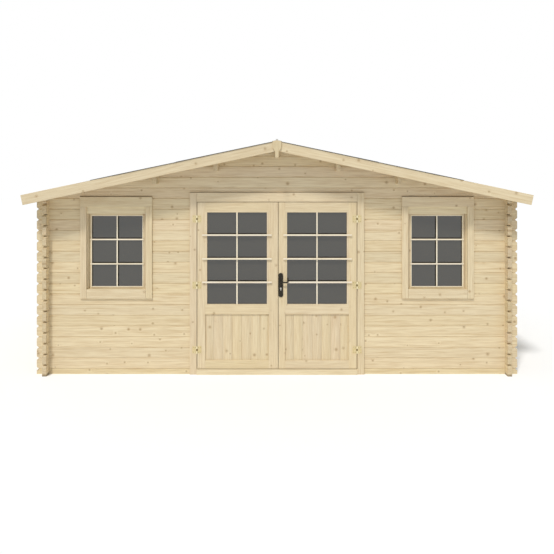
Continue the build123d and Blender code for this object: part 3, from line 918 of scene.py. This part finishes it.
def upright_painted_shade_strips(name, side, material, left, right, bottom, top, face):
    """Painted shade on one window's pane: dark upright strips by the bar towards the door, for the shaded
    inner bar, and along the outer edge, for the shade of the recess.
    """
    strips = Boards()
    front = face + BAR_THICKNESS + FINE_EDGE
    glass_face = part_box(f"{name}_window_glass")[0][1]
    middle = (left + right) / 2 - side * WINDOW_SHADE_SHIFT
    half = WINDOW_CROSS_BAR / 2
    outer = right if side > 0 else left
    for x0, x1 in ((middle - half, middle + half), (outer - side * WINDOW_EDGE_SHADE, outer)):
        strips.bar((x0, front, bottom), (x1, glass_face, top), "z", FINE_EDGE)
    strips.finish(f"{name}_window_upright_painted_shade", material, "joinery", "shed")


def door_trim_boards(material):
    """Boards round the doorway, outside and inside."""
    low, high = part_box("door_trims")
    floor_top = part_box("floor_deck")[1][2]
    boards = Boards()
    for y0, y1, foot in ((low[1], low[1] + TRIM, low[2]), (high[1] - TRIM, high[1], floor_top)):
        for x in (low[0], high[0] - DOOR_SIDE_TRIM):
            boards.bar((x, y0, foot), (x + DOOR_SIDE_TRIM, y1, high[2]), "z")
        inner = DOOR_SIDE_TRIM + TRIM_JOINT
        boards.bar((low[0] + inner, y0, high[2] - DOOR_HEAD_TRIM), (high[0] - inner, y1, high[2]), "x")
    boards.finish("door_trim_boards", material, "joinery", "shed", "door_trims")


def door_leaf(name, side, tree, frame_finish, panel_finish, bar_finish, shade_strip_finish):
    """Stiles, rails, boarded panel and bars of one leaf."""
    body = f"{name}_door"
    low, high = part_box(f"{name}_door_leaf")
    hinge_edge = side * max(abs(low[0]), abs(high[0]))
    meeting_edge = low[0] if side > 0 else high[0]
    stile_in = hinge_edge - side * OUTER_STILE
    stile_out = side * (GLASS_INNER - PANE_STRIP)
    front, back = low[1], high[1]
    leaf = Boards()

    def member(x0, x1, z0, z1, along):
        leaf.bar((x0, front, z0), (x1, back, z1), along, FINE_EDGE)

    member(hinge_edge, stile_in, low[2], high[2], "z")
    member(meeting_edge, stile_out, low[2], high[2], "z")
    panel_low = low[2] + BOTTOM_RAIL
    panel_high = panel_low + PANEL_HEIGHT
    glass_low = panel_high + MIDDLE_RAIL
    glass_high = high[2] - TOP_RAIL
    for z0, z1 in ((low[2], panel_low - PANEL_GAP), (panel_high, glass_low), (glass_high, high[2])):
        member(stile_out, stile_in, z0, z1, "x")
    gap_face = front + PANEL_GAP_DEPTH
    leaf.bar((stile_out, gap_face, panel_low - PANEL_GAP), (stile_in, back, panel_low), "x", FINE_EDGE)
    for x in (stile_out, stile_in - side * PANE_STRIP):
        member(x, x + side * PANE_STRIP, glass_low, glass_high, "z")
    leaf.finish(f"{name}_door_frame_boards", frame_finish, "joinery", body, f"{name}_door_leaf")

    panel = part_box(f"{name}_door_panel")
    width = (panel[1][0] - panel[0][0]) / PANEL_BOARDS
    depth = panel[1][1] - panel[0][1] - PANEL_STEP
    place = (panel[0][0] + width / 2, panel[1][1] - depth / 2, panel[0][2])
    row_of_boards(tree, f"{name}_door_panel_boards", body, "joinery", f"{name}_door_panel",
                  Boards=PANEL_BOARDS, Step=(0.0, width, 0.0), Length=panel[1][2] - panel[0][2],
                  Width=width - PANEL_BOARD_GAP, Thickness=depth, Edge=FINE_EDGE,
                  Turn=(-QUARTER_TURN, -QUARTER_TURN, 0.0), Place=place, Seed=PANEL_SEED + side,
                  Finish=panel_finish)

    left, right = sorted((stile_out + side * PANE_STRIP, stile_in - side * PANE_STRIP))
    laps = [(DOOR_BAR_LAP, DOOR_BAR_LAP)] * len(DOOR_BAR_SHARES)
    if side > 0:
        laps = [(0.0, DOOR_BAR_LAP)] + [(DOOR_BAR_LAP_BY_HANDLE, DOOR_BAR_LAP)] * (len(laps) - 1)
    heights = [glass_low + (glass_high - glass_low) * share for share in DOOR_BAR_SHARES]
    bars = Boards()
    for face, toward in ((front, -1), (back, 1)):
        lattice(bars, left, right, glass_low, glass_high, face, toward, heights, laps, DOOR_CROSS_BAR,
                DOOR_BAR_PROUD)
    bars.finish(f"{name}_door_bars", bar_finish, "joinery", body)
    # Painted shade: dark strips between the cross bars and the pane
    glass_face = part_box(f"{name}_door_glass")[0][1]
    painted_shade_strips(f"{name}_door_painted_shade", body, shade_strip_finish, left, right, front, glass_face, heights, DOOR_CROSS_BAR,
            DOOR_SHADE_RISE)


def hinge_screws(tree, name, side, material):
    """Four screws in each flap of one door's hinges, on the post and on the leaf."""
    low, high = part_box(f"{name}_door_leaf")
    frame_low, frame_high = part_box(f"{name}_frame_hinges")
    leaf_low, leaf_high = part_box(f"{name}_leaf_hinges")
    axis = (max(frame_low[0], leaf_low[0]) + min(frame_high[0], leaf_high[0])) / 2
    face = low[1] - HINGE_SHEET
    for holder, body, outward in (("frame", "shed", side), ("leaf", f"{name}_door", -side)):
        places = []
        for share in HINGE_PLACE_SHARES:
            middle = low[2] + share * (high[2] - low[2])
            for reach in SCREW_REACHES:
                for rise in (-SCREW_RISE, SCREW_RISE):
                    places.append((axis + outward * reach, face, middle + rise))
        points = bpy.data.meshes.new(f"{name}_{holder}_screw_places")
        points.from_pydata(places, [], [])
        piece = f"{name}_{holder}_hinge_screws"
        values = {"Radius": SCREW_RADIUS, "Height": SCREW_HEIGHT, "Finish": material}
        mounted(tree.grown(piece, values, points), piece, material, "hinge_metal", body)


def floor_boards(tree, material):
    """The deck's boards, which run across the shed."""
    low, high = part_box("floor_deck")
    count = round((high[1] - low[1]) / FLOOR_BOARD_WIDTH)
    width = (high[1] - low[1]) / count
    place = (low[0], low[1] + width / 2, (low[2] + high[2]) / 2)
    row_of_boards(tree, "floor_board_row", "shed", "floor_timber", "floor_deck", Boards=count,
                  Step=(0.0, width, 0.0), Length=high[0] - low[0], Width=width - FLOOR_BOARD_GAP,
                  Thickness=high[2] - low[2], Edge=FINE_EDGE, Turn=(0.0, 0.0, 0.0), Place=place,
                  Seed=FLOOR_SEED, Finish=material)


def stage():
    """Floor, sky, sun and camera."""
    mesh = bpy.data.meshes.new("pale_floor")
    half = FLOOR_SIZE / 2
    corners = [(-half, -half, 0.0), (half, -half, 0.0), (half, half, 0.0), (-half, half, 0.0)]
    mesh.from_pydata(corners, [], [(0, 1, 2, 3)])
    mesh.materials.append(floor_paint())
    floor = bpy.data.objects.new("pale_floor", mesh)
    bpy.context.scene.collection.objects.link(floor)

    world = bpy.data.worlds.new("studio")
    bpy.context.scene.world = world
    world.use_nodes = True
    nodes, links = world.node_tree.nodes, world.node_tree.links
    sky = nodes["Background"]
    rays = nodes.new("ShaderNodeLightPath").outputs
    shown = rays["Is Camera Ray"]
    for kind in ("Is Glossy Ray", "Is Transmission Ray"):
        either = nodes.new("ShaderNodeMath")
        either.operation = "MAXIMUM"
        links.new(shown, either.inputs[0])
        links.new(rays[kind], either.inputs[1])
        shown = either.outputs[0]
    tint = nodes.new("ShaderNodeMix")
    tint.data_type = "RGBA"
    tint.inputs[6].default_value = color(*SKY_TINT)
    tint.inputs[7].default_value = WHITE
    links.new(shown, tint.inputs[0])
    links.new(tint.outputs[2], sky.inputs["Color"])

    lamp = bpy.data.lights.new("sun", "SUN")
    lamp.energy = SUN_STRENGTH
    lamp.color = SUN_TINT
    lamp.angle = math.radians(SUN_WIDTH)
    sun = bpy.data.objects.new("sun", lamp)
    sun.rotation_euler = (math.radians(90 - SUN_HEIGHT), 0.0, math.radians(-SUN_LEFT))
    bpy.context.scene.collection.objects.link(sun)

    lens = bpy.data.cameras.new("camera")
    lens.lens = CAMERA_LENS
    lens.shift_x, lens.shift_y = CAMERA_SHIFT
    camera = bpy.data.objects.new("camera", lens)
    camera.location = CAMERA_PLACE
    camera.rotation_euler = (QUARTER_TURN, 0.0, 0.0)
    bpy.context.scene.collection.objects.link(camera)
    bpy.context.scene.camera = camera
    bpy.context.scene.view_settings.view_transform = "Standard"


stage()
front_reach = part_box("back_wall")[1][0]
side_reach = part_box("left_wall")[1][1]
purlin_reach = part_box("ridge_purlin")[1][1]
front_logs = timber("front_logs", log_grain, PALE_WOOD, DEEP_WOOD, knots=0.44, end_shade=0.05,
                    settings=("x", LOG_HALF, front_reach))
# The side logs get painted shade along their lowest edge
side_logs = timber("side_logs", log_grain, PALE_WOOD, DEEP_WOOD, knots=0.44, end_shade=0.3,
                   settings=("y", 0.0, side_reach, FOOT_PAINTED_SHADE))
beams = timber("roof_beams", beam_grain, PALE_WOOD, DEEP_WOOD, knots=0.25, end_shade=0.05,
               settings=("y", purlin_reach))
posts = timber("frame_posts", beam_grain, PALE_JOINERY, DEEP_JOINERY, knots=0.15, settings=("z",))
sills = timber("frame_heads", beam_grain, PALE_SILL, DEEP_SILL, knots=0.15, settings=("x",))
roof_boards = timber("roof_boards", board_grain, PALE_WOOD, DEEP_WOOD)
edge_boards = timber("edge_boards", board_grain, PALE_WOOD, DEEP_WOOD)
trim_boards = timber("trim_boards", board_grain, PALE_JOINERY, DEEP_JOINERY, variety=0.5)
leaf_boards = timber("leaf_boards", board_grain, PALE_JOINERY, DEEP_JOINERY, knots=0.32, variety=0.6)
panel_boards = timber("panel_boards", board_grain, PALE_JOINERY, DEEP_JOINERY, knots=0.5, variety=0.35)
bar_wood = timber("bar_wood", board_grain, PALE_BAR, DEEP_BAR, knots=0.0)
deck_boards = timber("deck_boards", board_grain, PALE_WOOD, DEEP_WOOD)
felt = roofing_felt("roofing_felt", FELT_DEEP, FELT_GRIT)
ridge_felt = roofing_felt("ridge_felt", RIDGE_DEEP, RIDGE_GRIT)
glass = pane_glass()
# Painted shade for the dark strips on the panes
shade_strip_finish = painted_shade_finish()
# Painted highlight on the knuckles of the post's hinges, painted shade on the knuckle of the leaf's
frame_hinge_metal = metal("frame_hinge_plating", HINGE_YELLOW, HINGE_RUBBED, roughness=0.3, metallic=1.0,
                          barrel=KNUCKLE_PAINTED_HIGHLIGHT)
leaf_hinge_metal = metal("leaf_hinge_plating", HINGE_YELLOW, HINGE_RUBBED, roughness=0.3, metallic=1.0,
                         barrel=KNUCKLE_PAINTED_SHADE)
handle_metal = metal("black_iron", IRON_BLACK, IRON_RUBBED, roughness=0.5, metallic=0.0, shine=0.3)
screw_steel = metal("screw_steel", SCREW_DULL, SCREW_RUBBED, roughness=0.35, metallic=1.0)
cylinder_metal = metal("cylinder_brass", CYLINDER_DULL, CYLINDER_RUBBED, roughness=0.3, metallic=1.0)

paint(front_logs, "front_wall_left", "front_wall_right", "front_gable", "back_wall")
paint(side_logs, "left_wall", "right_wall")
paint(beams, "ridge_purlin", "side_purlins", "floor_joists")
paint(posts, "door_frame_left", "door_frame_right")
paint(sills, "door_frame_head", "door_threshold", "left_window_frame", "right_window_frame")
paint(ridge_felt, "ridge_cap")
paint(glass, "left_window_glass", "right_window_glass", "left_door_glass", "right_door_glass")
paint(frame_hinge_metal, "left_frame_hinges", "right_frame_hinges")
paint(leaf_hinge_metal, "left_leaf_hinges", "right_leaf_hinges")
paint(handle_metal, "handle_plates", "handle_lever")
paint(cylinder_metal, "lock_cylinder")

board_row = board_row_tree()
screw_heads = screw_tree()
roof_edge_boards(edge_boards)
roof_cover(board_row, roof_boards, felt)
floor_boards(board_row, deck_boards)
door_trim_boards(trim_boards)
panes = {}
for side_name, side_sign in BOTH_SIDES:
    panes[side_name] = window_pieces(side_name, trim_boards, leaf_boards, bar_wood, shade_strip_finish)
    door_leaf(side_name, side_sign, board_row, leaf_boards, panel_boards, bar_wood, shade_strip_finish)
    hinge_screws(screw_heads, side_name, side_sign, screw_steel)
for side_name, side_sign in BOTH_SIDES:
    upright_painted_shade_strips(side_name, side_sign, shade_strip_finish, *panes[side_name])
